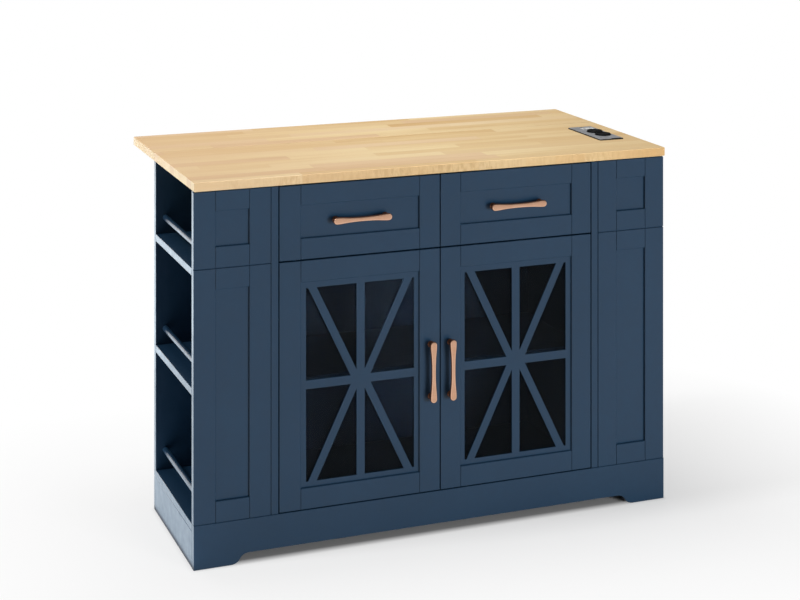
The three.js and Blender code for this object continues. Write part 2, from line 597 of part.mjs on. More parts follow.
// A channel under the leaf, open below, whose two ears turn on the bracket's pin.
function leafTrack(x) {
  const { half, wall, deep, start, end } = TRACK;
  const web = toSolid(block([x - half, x + half], [start, end],
    [CARCASS_TOP - wall, CARCASS_TOP]));
  const cheek = new THREE.Shape();
  cheek.moveTo(start, CARCASS_TOP);
  cheek.lineTo(end, CARCASS_TOP);
  cheek.lineTo(end - 6, CARCASS_TOP - deep);
  cheek.lineTo(LEAF_AXIS.y + 8, CARCASS_TOP - deep);
  cheek.absarc(LEAF_AXIS.y, LEAF_AXIS.z, 6, -0.4, Math.PI, true);
  const hole = new THREE.Path();
  hole.absarc(LEAF_AXIS.y, LEAF_AXIS.z, 3.3, 0, 2 * Math.PI);
  cheek.holes.push(hole);
  const cheeks = [[x - half, x - half + wall], [x + half - wall, x + half]]
    .map((range) => toSolid(sideSlab(cheek, range, 8)));
  return joinAll([web, ...cheeks]);
}

// A flat bar with an eye at its pivot and a roller at its tip.
function leafStay(x) {
  const along = Math.atan2(stayTip.z - stayPivot.z, stayTip.y - stayPivot.y);
  const bar = new THREE.Shape();
  bar.absarc(stayPivot.y, stayPivot.z, STAY.half, along + Math.PI / 2, along + 1.5 * Math.PI);
  bar.absarc(stayTip.y, stayTip.z, STAY.half, along - Math.PI / 2, along + Math.PI / 2);
  const eye = new THREE.Path();
  eye.absarc(stayPivot.y, stayPivot.z, 2.8, 0, 2 * Math.PI);
  bar.holes.push(eye);
  const flat = toSolid(sideSlab(bar, [x - STAY.thick / 2, x + STAY.thick / 2], 8));
  const rollerHalf = TRACK.half - TRACK.wall - 1;
  return flat.add(pin(STAY.half, [x - rollerHalf, x + rollerHalf], stayTip.y, stayTip.z));
}

// ---------------------------------------------------------------- the island
addCarcass();
addPlinth();
addRacks();
addWorktop();
addOutlet();
for (const side of ['left', 'right']) {
  addDoor(side);
  addDrawer(side);
}
BRACKET_X.forEach((x, i) => addLeafSupport(['left', 'right'][i], x));

cabinet.position.set(-WIDTH / 2, -(LEAF_Y[1] - HANDLE.reach) / 2, 0);

const island = new THREE.Group();
island.add(cabinet);

export default island;
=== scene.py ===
"""Kitchen island unit: materials, fine pieces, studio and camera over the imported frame.

Lengths in the drawing helpers are cabinet millimetres: X to the right from the cabinet's
left side, Y back from its front face, Z up from the floor. place() turns them into metres
in the shared frame, whose origin is on the floor under the middle of the bounding box.
"""
import json
import math

import bmesh
import bpy
from mathutils import Matrix, Vector


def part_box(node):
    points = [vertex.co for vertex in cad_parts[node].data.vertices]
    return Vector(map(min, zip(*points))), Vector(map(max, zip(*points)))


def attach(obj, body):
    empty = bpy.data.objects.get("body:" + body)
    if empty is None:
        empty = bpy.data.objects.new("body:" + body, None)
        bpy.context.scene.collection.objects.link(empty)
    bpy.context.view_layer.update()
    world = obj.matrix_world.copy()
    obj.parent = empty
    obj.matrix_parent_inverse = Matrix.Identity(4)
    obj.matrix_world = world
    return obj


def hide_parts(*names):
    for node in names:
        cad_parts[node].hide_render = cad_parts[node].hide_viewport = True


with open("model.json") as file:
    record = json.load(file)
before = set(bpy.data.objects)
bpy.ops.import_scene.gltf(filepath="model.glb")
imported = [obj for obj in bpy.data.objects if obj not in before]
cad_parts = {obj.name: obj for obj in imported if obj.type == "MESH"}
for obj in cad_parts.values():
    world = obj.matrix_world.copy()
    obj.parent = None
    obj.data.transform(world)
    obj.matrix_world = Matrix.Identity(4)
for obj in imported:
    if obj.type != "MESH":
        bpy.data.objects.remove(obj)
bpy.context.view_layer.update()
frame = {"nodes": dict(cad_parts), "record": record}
nodes = frame["nodes"]

# ------------------------------------------------------------------ shared sizes
WIDTH, DEPTH, TOP = 1250.0, 400.0, 910.0
WORKTOP_THICK = 22.0
ORIGIN = Vector((WIDTH / 2, 306.5, 0.0))
SIDES = ("left", "right")


def place(x, y, z):
    """Cabinet millimetres to metres in the shared frame."""
    return (Vector((x, y, z)) - ORIGIN) / 1000


def mirror_x(side, x):
    """A place given for the left side, or its mirror image on the right."""
    return x if side == "left" else WIDTH - x


# ------------------------------------------------------------------ shader helpers
class Shader:
    """A material under construction. Each method adds one node and returns its output."""

    def __init__(self, name):
        self.material = bpy.data.materials.new(name)
        self.material.use_nodes = True
        self.tree = self.material.node_tree
        self.tree.nodes.clear()
        self.out = self.tree.nodes.new("ShaderNodeOutputMaterial")

    def node(self, kind, inputs=None, **settings):
        made = self.tree.nodes.new(kind)
        for key, value in settings.items():
            setattr(made, key, value)
        for key, value in (inputs or {}).items():
            self.feed(made.inputs[key], value)
        return made

    def feed(self, socket, value):
        if isinstance(value, bpy.types.NodeSocket):
            self.tree.links.new(value, socket)
        else:
            socket.default_value = value

    def math(self, operation, a, b=0.0, clamp=False):
        return self.node("ShaderNodeMath", {0: a, 1: b}, operation=operation,
                         use_clamp=clamp).outputs[0]

    def coords(self):
        return self.node("ShaderNodeTexCoord").outputs["Object"]

    def split(self, vector):
        return self.node("ShaderNodeSeparateXYZ", {0: vector}).outputs

    def join(self, x, y, z):
        return self.node("ShaderNodeCombineXYZ", {0: x, 1: y, 2: z}).outputs[0]

    def scaled(self, vector, factor):
        return self.node("ShaderNodeVectorMath", {0: vector, 1: factor},
                         operation="MULTIPLY").outputs[0]

    def moved(self, vector, offset):
        return self.node("ShaderNodeVectorMath", {0: vector, 1: offset},
                         operation="ADD").outputs[0]

    def noise(self, vector, scale, detail=3.0, rough=0.5, distortion=0.0):
        return self.node("ShaderNodeTexNoise", {
            "Vector": vector, "Scale": scale, "Detail": detail, "Roughness": rough,
            "Distortion": distortion}).outputs[0]

    def random(self, vector):
        return self.node("ShaderNodeTexWhiteNoise", {"Vector": vector}).outputs["Value"]

    def faces_along(self):
        """How squarely a face looks along X, Y and Z of its own piece, at any pose."""
        normal = self.node("ShaderNodeNewGeometry").outputs["True Normal"]
        own = self.node("ShaderNodeVectorTransform", {0: normal}, vector_type="NORMAL",
                        convert_from="WORLD", convert_to="OBJECT").outputs[0]
        return [self.math("ABSOLUTE", part) for part in self.split(own)]

    def squareness(self):
        """1 on a face square to an axis, and less on a chamfer or a round."""
        size = self.faces_along()
        return self.math("MAXIMUM", size[0], self.math("MAXIMUM", size[1], size[2]))

    def blend(self, factor, a, b):
        return self.node("ShaderNodeMix", {0: factor, 2: a, 3: b},
                         data_type="FLOAT").outputs[0]

    def remap(self, value, low, high, to_low=0.0, to_high=1.0):
        return self.node("ShaderNodeMapRange", {
            "Value": value, "From Min": low, "From Max": high, "To Min": to_low,
            "To Max": to_high}).outputs[0]

    def ramp(self, value, stops):
        made = self.node("ShaderNodeValToRGB", {0: value})
        elements = made.color_ramp.elements
        while len(elements) < len(stops):
            elements.new(0.5)
        for element, (at, color) in zip(elements, stops):
            element.position = at
            element.color = (*color, 1)
        return made.outputs[0]

    def mix(self, factor, a, b, blend="MIX"):
        made = self.node("ShaderNodeMix", data_type="RGBA", blend_type=blend)
        for socket, value in ((0, factor), (6, a), (7, b)):
            if isinstance(value, tuple):
                value = (*value, 1)
            self.feed(made.inputs[socket], value)
        return made.outputs[2]

    def bump(self, height, distance, strength=1.0, normal=None):
        inputs = {"Height": height, "Distance": distance, "Strength": strength}
        if normal is not None:
            inputs["Normal"] = normal
        return self.node("ShaderNodeBump", inputs).outputs[0]

    def surface(self, **inputs):
        """Ends the material with a principled shader. Underscores stand for spaces."""
        made = self.node("ShaderNodeBsdfPrincipled")
        for key, value in inputs.items():
            if isinstance(value, tuple) and len(value) == 3:
                value = (*value, 1)
            self.feed(made.inputs[key.replace("_", " ")], value)
        self.tree.links.new(made.outputs[0], self.out.inputs[0])
        return self.material


def srgb(r, g, b):
    """8-bit screen colour to linear."""
    return tuple((c / 255 / 12.92) if c <= 10 else ((c / 255 + 0.055) / 1.055) ** 2.4
                 for c in (r, g, b))


# ------------------------------------------------------------------ finishes
PAINT_DARK = srgb(21, 47, 69)
PAINT = srgb(24, 50, 73)
PAINT_LIGHT = srgb(27, 54, 77)
PAINT_WORN = srgb(44, 72, 96)
TOP_WOOD = [(0.26, srgb(208, 169, 115)), (0.42, srgb(228, 196, 144)),
            (0.56, srgb(240, 215, 167)), (0.74, srgb(245, 225, 183))]
PLY_WOOD = [(0.24, srgb(196, 158, 112)), (0.45, srgb(212, 178, 132)),
            (0.62, srgb(222, 190, 146)), (0.80, srgb(230, 202, 160))]

# In metres, for the materials below.
STAVE_WIDTH = 0.042
STAVE_LENGTH = 0.46
EDGE_BLOCK = 0.082    # a block of even tone on the front edge
SEAM_Y = (DEPTH + 0.7 - ORIGIN.y) / 1000
PLY_SHEET = 0.0024
FINGER_PITCH = 0.025
BOX_SIDE = 0.012


# ------------------------------------------------------------------ materials
def painted_wood():
    """Sprayed satin lacquer: fine orange peel over very faint clouding, with the paint a
    little thinner along the broken edges."""
    s = Shader("painted_wood")
    at = s.coords()
    cloud = s.noise(at, 3.2, 3.0, 0.55)
    mottle = s.noise(at, 42.0, 4.0, 0.6)
    tone = s.math("ADD", s.math("MULTIPLY", cloud, 0.6), s.math("MULTIPLY", mottle, 0.4))
    body = s.ramp(tone, [(0.30, PAINT_DARK), (0.52, PAINT), (0.72, PAINT_LIGHT)])
    edge = s.remap(s.squareness(), 0.98, 0.80)
    thin = s.math("MULTIPLY", edge, s.remap(s.noise(at, 26.0, 5.0, 0.7), 0.42, 0.62,
                                            0.05, 0.35))
    color = s.mix(thin, body, PAINT_WORN)
    peel = s.noise(at, 420.0, 2.0, 0.5)
    grain = s.noise(s.scaled(at, (30.0, 30.0, 3.0)), 14.0, 4.0, 0.6)
    height = s.math("ADD", s.math("MULTIPLY", peel, 0.7), s.math("MULTIPLY", grain, 0.3))
    rough = s.remap(mottle, 0.3, 0.7, 0.32, 0.40)
    return s.surface(Base_Color=color, Roughness=rough, Specular_IOR_Level=0.4,
                     Normal=s.bump(height, 0.00006, 0.4))


def stave_cells(s, x, y):
    """The grid of staves: how far a point lies along and across it, and three random
    values for its stave. The staves of the leaf are other ones than the worktop's."""
    across = s.math("DIVIDE", s.math("ADD", y, 1.0), STAVE_WIDTH)
    leaf = s.math("GREATER_THAN", y, SEAM_Y)
    row = s.math("ADD", s.math("FLOOR", across), s.math("MULTIPLY", leaf, 40.0))
    start = s.random(s.join(row, 4.0, 3.0))
    along = s.math("ADD", s.math("DIVIDE", x, STAVE_LENGTH), s.math("MULTIPLY", start, 7.0))
    count = s.math("FLOOR", along)
    tone = s.random(s.join(row, count, 5.0))
    hue = s.random(s.join(row, count, 9.0))
    shift = s.random(s.join(count, row, 6.0))
    return along, across, leaf, (tone, hue, shift)


def stave_edges(s, color, at, x, leaf, end_face, side_face):
    """The front edge is greyer, with upright flecks in blocks of their own tone, and
    browner towards the right. The two ends are a little darker."""
    block = s.math("FLOOR", s.math("DIVIDE", s.math("ADD", x, 0.016), EDGE_BLOCK))
    blocks = s.random(s.join(block, 8.0, 2.0))
    flecks = s.noise(s.scaled(at, (130.0, 20.0, 36.0)), 1.0, 4.0, 0.7)
    fleck = s.math("MULTIPLY", s.remap(flecks, 0.43, 0.60),
                   s.math("MULTIPLY", s.remap(blocks, 0.05, 0.6, 0.3, 1.0),
                          s.remap(x, -0.57, -0.50)))
    ripe = s.math("MULTIPLY", s.remap(s.random(s.join(block, 3.0, 7.0)), 0.4, 0.8),
                  s.remap(x, -0.3, 0.6, 0.1, 0.35))
    brown = s.remap(x, 0.44, 0.60, 0.0, 0.9)
    for amount, tint in (
            (s.math("MULTIPLY", side_face, 0.42), srgb(188, 164, 126)),
            (s.math("MULTIPLY", side_face, brown), srgb(190, 142, 84)),
            (s.math("MULTIPLY", end_face, s.blend(leaf, 0.45, 0.58)), srgb(208, 174, 124)),
            (s.math("MULTIPLY", ripe, side_face), srgb(204, 154, 92)),
            (s.math("MULTIPLY", s.math("MULTIPLY", fleck, side_face), 0.5),
             srgb(176, 140, 94))):
        color = s.mix(amount, color, tint)
    return color


def glue_joints(s, along, across):
    """1 on the hairline joints between the staves."""
    sides = s.math("ABSOLUTE", s.math("SUBTRACT", s.math("FRACT", across), 0.5))
    ends = s.math("ABSOLUTE", s.math("SUBTRACT", s.math("FRACT", along), 0.5))
    return s.math("MAXIMUM", s.remap(sides, 0.486, 0.499), s.remap(ends, 0.4985, 0.4998))


def stave_wood():
    """Glued rubberwood staves that run along X under a satin varnish. Each stave differs a
    little in tone and their ends are staggered."""
    s = Shader("worktop_wood")
    at = s.coords()
    x, y = s.split(at)[:2]
    along, across, leaf, (tone, hue, shift) = stave_cells(s, x, y)
    local = s.moved(at, s.join(s.math("MULTIPLY", shift, 9.0), s.math("MULTIPLY", tone, 5.0),
                               s.math("MULTIPLY", shift, 3.0)))

    # Long, slightly wavy growth lines, broad soft streaks and short dark pores. The ends
    # show soft growth rings instead.
    warp = s.noise(s.scaled(local, (2.2, 16.0, 16.0)), 1.0, 2.0, 0.5)
    lines_at = s.moved(s.scaled(local, (3.0, 70.0, 70.0)),
                       s.join(0.0, s.math("MULTIPLY", warp, 3.0), 0.0))
    lines = s.noise(lines_at, 1.0, 5.0, 0.62)
    streaks = s.noise(s.scaled(at, (1.6, 26.0, 26.0)), 1.0, 3.0, 0.55)
    pores = s.noise(s.scaled(local, (60.0, 900.0, 900.0)), 1.0, 2.0, 0.5)
    pore = s.remap(pores, 0.60, 0.74)
    rings = s.noise(s.scaled(local, (1.0, 60.0, 170.0)), 1.0, 2.0, 0.55)
    squareness = s.faces_along()
    end_face = s.remap(squareness[0], 0.8, 0.95)
    side_face = s.remap(squareness[1], 0.8, 0.95)
    long_face = s.math("SUBTRACT", 1.0, end_face)
    figure = s.blend(end_face, lines, rings)
    value = s.math("ADD", s.math("MULTIPLY", figure, 0.40),
                   s.math("ADD", s.math("MULTIPLY", streaks, 0.34),
                          s.math("MULTIPLY", tone, 0.26)))
    color = s.ramp(value, TOP_WOOD)
    color = s.mix(s.remap(hue, 0.74, 0.84, 0.0, 0.45), color, srgb(226, 190, 160))
    color = s.mix(s.remap(hue, 0.24, 0.14, 0.0, 0.40), color, srgb(210, 166, 108))
    color = s.mix(s.math("MULTIPLY", pore, s.remap(end_face, 0.0, 1.0, 0.20, 0.0)), color,
                  srgb(176, 128, 76))
    color = stave_edges(s, color, at, x, leaf, end_face, side_face)

    # A painted sheen: the worktop's long faces turn paler and pinker towards its left end,
    # where light from behind on the left glances off them. It turns browner towards its
    # right.
    left = s.math("MULTIPLY", s.remap(x, 0.05, -0.6, 0.0, 0.55), long_face)
    color = s.mix(left, color, srgb(216, 180, 140))
    color = s.mix(s.remap(x, 0.1, 0.62, 0.0, 0.5), color, srgb(217, 184, 133))

    joint = glue_joints(s, along, across)
    color = s.mix(s.math("MULTIPLY", joint, 0.16), color, srgb(160, 116, 68))
    height = s.math("MULTIPLY", long_face, s.math(
        "SUBTRACT", s.math("MULTIPLY", lines, 0.5),
        s.math("ADD", s.math("MULTIPLY", pore, 0.5), joint)))
    return s.surface(Base_Color=color, Roughness=s.remap(lines, 0.3, 0.7, 0.50, 0.60),
                     Specular_IOR_Level=0.3, Normal=s.bump(height, 0.0001, 0.5))


def plywood():
    """Varnished birch ply for the drawer boxes and runners: fine face grain, the plies as
    thin lines along every top edge, and finger joints at the corners of each box."""
    s = Shader("plain_wood")
    at = s.coords()
    x, y, z = s.split(at)
    squareness = s.faces_along()
    up = s.remap(squareness[2], 0.8, 0.95)
    sideways = s.remap(squareness[0], 0.8, 0.95)
    warp = s.noise(s.scaled(at, (10.0, 2.5, 10.0)), 1.0, 2.0, 0.5)
    grain_at = s.moved(s.scaled(at, (80.0, 5.0, 80.0)), s.join(
        s.math("MULTIPLY", warp, 4.0), 0.0, s.math("MULTIPLY", warp, 4.0)))
    grain = s.noise(grain_at, 1.0, 5.0, 0.6)
    color = s.ramp(grain, PLY_WOOD)

    # How far a point lies in from the nearest outer face of its drawer box.
    low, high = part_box("drawer_box_right")
    middle = s.math("SUBTRACT", s.math("ABSOLUTE", x), (low[0] + high[0]) / 2)
    in_x = s.math("SUBTRACT", (high[0] - low[0]) / 2, s.math("ABSOLUTE", middle))
    in_y = s.math("MINIMUM", s.math("SUBTRACT", y, low[1]), s.math("SUBTRACT", high[1], y))
    depth = s.math("MINIMUM", s.math("ABSOLUTE", in_x), s.math("ABSOLUTE", in_y))
    plies = s.remap(s.math("SINE", s.math("MULTIPLY", depth, 2 * math.pi / PLY_SHEET)),
                    -0.2, 0.6)
    color = s.mix(s.math("MULTIPLY", s.math("MULTIPLY", plies, up), 0.45), color,
                  srgb(150, 108, 70))
    finger = s.remap(s.math("FRACT", s.math("DIVIDE", z, FINGER_PITCH)), 0.49, 0.51)
    corner_y = s.math("LESS_THAN", in_y, BOX_SIDE)
    end_grain = s.math("MULTIPLY", s.math("MULTIPLY", finger, corner_y), sideways)
    color = s.mix(s.math("MULTIPLY", end_grain, 0.35), color, srgb(158, 116, 76))
    return s.surface(Base_Color=color, Roughness=s.remap(grain, 0.3, 0.7, 0.46, 0.60),
                     Specular_IOR_Level=0.3, Normal=s.bump(grain, 0.0001, 0.5))


def metal(name, dark, light, roughness, stretch, bump=0.25, metallic=1.0):
    """A plated or brushed metal. Its fine marks run along the axis in which stretch is
    least."""
    s = Shader(name)
    at = s.coords()
    brush = s.noise(s.scaled(at, stretch), 1.0, 4.0, 0.6)
    cloud = s.noise(at, 30.0, 3.0, 0.6)
    tone = s.math("ADD", s.math("MULTIPLY", brush, 0.5), s.math("MULTIPLY", cloud, 0.5))
    color = s.ramp(tone, [(0.35, dark), (0.65, light)])
    return s.surface(Base_Color=color, Metallic=metallic,
                     Roughness=s.remap(tone, 0.3, 0.7, roughness - 0.06, roughness + 0.08),
                     Normal=s.bump(brush, 0.00003, bump))


def plastic(name, color, roughness, texture=0.00004, metallic=0.0, specular=0.15):
    """Moulded plastic with a fine spark-eroded grain."""
    s = Shader(name)
    at = s.coords()
    grain = s.noise(at, 1500.0, 2.0, 0.5)
    cloud = s.noise(at, 60.0, 3.0, 0.5)
    base = s.ramp(cloud, [(0.35, color), (0.7, tuple(c * 1.25 for c in color))])
    return s.surface(Base_Color=base, Metallic=metallic, Specular_IOR_Level=specular,
                     Roughness=s.remap(cloud, 0.3, 0.7, roughness - 0.05, roughness + 0.05),
                     Normal=s.bump(grain, texture, 0.6))


def tinted_glass():
    """Dark tinted pane with an anti-glare face, its tint clouded a little."""
    s = Shader("dark_glass")
    at = s.coords()
    cloud = s.noise(at, 5.0, 2.0, 0.5)
    tint = s.ramp(cloud, [(0.3, (0.38, 0.46, 0.54)), (0.7, (0.46, 0.54, 0.62))])
    return s.surface(Base_Color=tint, Roughness=s.remap(cloud, 0.3, 0.7, 0.02, 0.05),
                     IOR=1.08, Transmission_Weight=0.995)


paint = painted_wood()
top_wood = stave_wood()
ply_wood = plywood()
glass = tinted_glass()
EVEN_GRAIN = (500.0, 500.0, 500.0)
copper = metal("copper_finish", srgb(200, 153, 124), srgb(222, 177, 149), 0.34, EVEN_GRAIN)
# A lighter copper for the bevels of the pulls: a painted highlight where the rounded edge
# catches the light.
copper_painted_highlight = metal("copper_painted_highlight", srgb(226, 178, 148), srgb(240, 200, 172), 0.34,
                    EVEN_GRAIN)
bronze = metal("dark_bronze", srgb(104, 66, 48), srgb(150, 98, 74), 0.50,
               (300.0, 300.0, 300.0), 0.25, 0.75)
steel = metal("steel", srgb(168, 170, 172), srgb(196, 198, 200), 0.34,
              (900.0, 60.0, 900.0))
brass = metal("contact_brass", srgb(168, 132, 70), srgb(204, 168, 100), 0.30,
              (300.0, 300.0, 300.0))
black_plastic = plastic("black_plastic", srgb(15, 15, 16), 0.45, specular=0.08)
grey_felt = plastic("grey_felt", srgb(96, 98, 102), 0.85, 0.0002)
silver_plastic = plastic("silver_plastic", srgb(156, 157, 160), 0.40, 0.00002, 0.35)
white_plastic = plastic("white_plastic", srgb(206, 207, 204), 0.45)

SLOT_MATERIALS = {
    "painted_wood": paint, "worktop_wood": top_wood, "plain_wood": ply_wood,
    "dark_glass": glass, "copper_finish": copper, "steel": steel,
    "black_plastic": black_plastic, "silver_plastic": silver_plastic,
    "white_plastic": white_plastic,
}


CRISP = 40


def smoothing_group():
    """A node group that rounds the shading of curved faces and keeps edges over CRISP
    degrees sharp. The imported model's vertices stay where they are."""
    group = bpy.data.node_groups.new("smooth_curves", "GeometryNodeTree")
    group.interface.new_socket("Geometry", in_out="INPUT", socket_type="NodeSocketGeometry")
    group.interface.new_socket("Geometry", in_out="OUTPUT", socket_type="NodeSocketGeometry")
    add = group.nodes.new
    start, end = add("NodeGroupInput"), add("NodeGroupOutput")
    merge = add("GeometryNodeMergeByDistance")
    merge.inputs["Distance"].default_value = 0.00001
    bare = add("GeometryNodeRemoveAttribute")
    bare.inputs["Name"].default_value = "custom_normal"
    angle = add("GeometryNodeInputMeshEdgeAngle")
    sharp = add("FunctionNodeCompare")
    sharp.data_type = "FLOAT"
    sharp.operation = "GREATER_THAN"
    sharp.inputs[1].default_value = math.radians(CRISP)
    group.links.new(angle.outputs["Unsigned Angle"], sharp.inputs[0])
    edges = add("GeometryNodeStoreNamedAttribute")
    edges.data_type = "BOOLEAN"
    edges.domain = "EDGE"
    edges.inputs["Name"].default_value = "sharp_edge"
    group.links.new(sharp.outputs[0], edges.inputs["Value"])
    smooth = add("GeometryNodeSetShadeSmooth")
    chain = [start, merge, bare, edges, smooth, end]
    for before, after in zip(chain, chain[1:]):
        group.links.new(before.outputs[0], after.inputs[0])
    return group


smooth_curves = smoothing_group()
for entry in frame["record"]["subparts"]:
    node = nodes[entry["node"]]
    node.data.materials.clear()
    node.data.materials.append(SLOT_MATERIALS[entry["material_slot"]])
    node.modifiers.new("smooth_curves", "NODES").node_group = smooth_curves


# ------------------------------------------------------------------ mesh helpers
def piece(name, vertices, faces, materials, body, face_materials=None, sharp=35):
    """Links a mesh given in cabinet millimetres, with the materials it is given. It rides on
    a body."""
    mesh = bpy.data.meshes.new(name)
    mesh.from_pydata([place(*v) for v in vertices], [], faces)
    for material in materials:
        mesh.materials.append(material)
    if face_materials:
        mesh.polygons.foreach_set("material_index", face_materials)
    mesh.shade_smooth()
    mesh.set_sharp_from_angle(angle=math.radians(sharp))
    made = bpy.data.objects.new(name, mesh)
    bpy.context.scene.collection.objects.link(made)
    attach(made, body)
    return made


class Form:
    """Collects vertices and faces of one piece, which may have several closed shells."""

    def __init__(self):
        self.vertices = []
        self.faces = []
        self.materials = []

    def loft(self, rings, material=0, close=True):
        """Joins rings of equal length. With close, both ends are capped."""
        base, count = len(self.vertices), len(rings[0])
        for ring in rings:
            self.vertices += [tuple(v) for v in ring]
        for level in range(len(rings) - 1):
            low = base + level * count
            for i in range(count):
                j = (i + 1) % count
                self.faces.append((low + i, low + j, low + count + j, low + count + i))
                self.materials.append(
                    material[level] if isinstance(material, list) else material)
        if close:
            last = base + (len(rings) - 1) * count
            self.faces.append(tuple(range(base + count - 1, base - 1, -1)))
            self.faces.append(tuple(range(last, last + count)))
            ends = material if isinstance(material, list) else [material]
            self.materials += [ends[0], ends[-1]]

    def turned(self, profile, origin, axis, segments=32, material=0):
        """Turns a profile of (radius, height) about an axis through origin."""
        axis = Vector(axis).normalized()
        side = axis.orthogonal().normalized()
        other = axis.cross(side)
        rings = []
        for radius, height in profile:
            middle = Vector(origin) + axis * height
            rings.append([middle + (side * math.cos(a) + other * math.sin(a)) * radius
                          for a in (2 * math.pi * i / segments for i in range(segments))])
        self.loft(rings, material)

    def block(self, x, y, z, edge=0.3, material=0):
        """A box given by its ranges, with rounded edges."""
        def ring(inset, level):
            points = []
            for sx, sy in ((1, 1), (-1, 1), (-1, -1), (1, -1)):
                cx = (x[1] if sx > 0 else x[0]) - sx * edge
                cy = (y[1] if sy > 0 else y[0]) - sy * edge
                start = {(1, 1): 0, (-1, 1): 90, (-1, -1): 180, (1, -1): 270}[(sx, sy)]
                for step in range(4):
                    a = math.radians(start + 30 * step)
                    reach = edge - inset
                    points.append((cx + reach * math.cos(a), cy + reach * math.sin(a), level))
            return points
        self.loft([ring(edge, z[0]), ring(edge * 0.3, z[0] + edge * 0.3),
                   ring(0, z[0] + edge), ring(0, z[1] - edge),
                   ring(edge * 0.3, z[1] - edge * 0.3), ring(edge, z[1])], material)

    def finish(self, name, materials, body, sharp=35):
        return piece(name, self.vertices, self.faces, materials, body,
                     self.materials, sharp)


# ------------------------------------------------------------------ pulls
PULL = {"length": 150, "end": 8.5, "waist": 5.25, "reach": 24, "thick": 7, "centres": 128,
        "post": 8}

# Lower and upper edge of the doors, and where the pulls stand.
DOOR_Z = (105.6, 701.8)
DOOR_MIDDLE = sum(DOOR_Z) / 2
DOOR_PULL_X = 599.0
DRAWER_PULL_X, DRAWER_PULL_Z = 417.125, 793.65
PANEL_FACE = 6.5


def pull_outline(inset):
    """The bar's outline, round at both ends and drawn in at its waist, as (along, across)
    pairs, moved inwards by inset."""
    shoulder = PULL["length"] / 2 - PULL["end"]
    quarter = []
    for i in range(9):
        a = math.radians(90 * i / 8)
        quarter.append((shoulder + PULL["end"] * math.cos(a), PULL["end"] * math.sin(a)))
    controls = ((shoulder, PULL["end"]), (shoulder - 18, PULL["end"]),
                (shoulder - 22, PULL["waist"]), (0, PULL["waist"]))
    for i in range(1, 13):
        t = i / 12
        weights = ((1 - t) ** 3, 3 * t * (1 - t) ** 2, 3 * t * t * (1 - t), t ** 3)
        quarter.append(tuple(sum(w * c[k] for w, c in zip(weights, controls))
                             for k in (0, 1)))
    half = quarter + [(-u, v) for u, v in reversed(quarter[:-1])]
    loop = half + [(u, -v) for u, v in reversed(half[1:-1])]
    moved = []
    for i, (u, v) in enumerate(loop):
        before, after = loop[i - 1], loop[(i + 1) % len(loop)]
        run, rise = after[0] - before[0], after[1] - before[1]
        length = math.hypot(run, rise)
        moved.append((u - inset * rise / length, v + inset * run / length))
    return moved


def pull(name, centre, upright, body, node):
    """A copper-faced bar with dark sides on two barrel-shaped posts. It replaces the plain
    pull in the same place."""
    form = Form()
    cx, surface, cz = centre

    def at(along, out, across):
        if upright:
            return (cx + across, surface - out, cz + along)
        return (cx + along, surface - out, cz + across)

    back = PULL["reach"] - PULL["thick"]
    front = PULL["reach"]

    def ring(inset, out):
        points = [at(u, out, v) for u, v in pull_outline(inset)]
        return points if upright else points[::-1]

    form.loft([ring(1.6, back), ring(0.5, back + 0.4), ring(0, back + 1.2),
               ring(0, front - 1.7), ring(0.25, front - 1.2), ring(0.9, front - 1.0)], 0)
    # The copper face. Its bevel takes the lighter copper, a painted highlight.
    form.loft([ring(0.75, front - 1.3), ring(0.75, front - 0.75), ring(1.15, front - 0.35),
               ring(1.9, front - 0.1), ring(2.7, front)], [1, 1, 2, 2])
    form.materials[-1] = 1
    foot = PULL["post"]
    post = [(foot - 0.4, 0), (foot, 0.5), (foot, 1.6), (7.2, 2.6), (6.0, 4.2), (5.7, 6.5),
            (6.1, 9.5), (6.5, 12.5), (6.5, 14.5), (6.0, back - 0.6), (5.0, back + 0.8)]
    for end in (-1, 1):
        form.turned(post, at(end * PULL["centres"] / 2, 0, 0), (0, -1, 0))
    made = form.finish(name, [bronze, copper, copper_painted_highlight], body, 50)
    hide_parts(node)


for side in SIDES:
    pull(f"door_pull_{side}", (mirror_x(side, DOOR_PULL_X), 0, DOOR_MIDDLE), True,
         f"door_{side}", f"door_handle_{side}")
    pull(f"drawer_pull_{side}", (mirror_x(side, DRAWER_PULL_X), PANEL_FACE, DRAWER_PULL_Z),
         False, f"drawer_{side}", f"drawer_handle_{side}")


# ------------------------------------------------------------------ rack rails
RAIL_RADIUS, RAIL_INSET = 7.2, 25.0
RAIL_Z = {"upper": 745.5, "middle": 463.5, "lower": 154}
RAIL_Y = (18.0, 382.0)


def rail(side, level, z):
    """A turned dowel, very slightly eased where it enters its two boards."""
    form = Form()
    start, end = RAIL_Y
    run = end - start
    form.turned([(RAIL_RADIUS - 0.5, 0), (RAIL_RADIUS, 0.6), (RAIL_RADIUS, run - 0.6),
                 (RAIL_RADIUS - 0.5, run)], (mirror_x(side, RAIL_INSET), start, z),
                (0, 1, 0), 48)
    made = form.finish(f"dowel_{side}_{level}", [paint], "cabinet")
    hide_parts(f"rack_rail_{side}_{level}")


for side in SIDES:
    for level, z in RAIL_Z.items():
        rail(side, level, z)


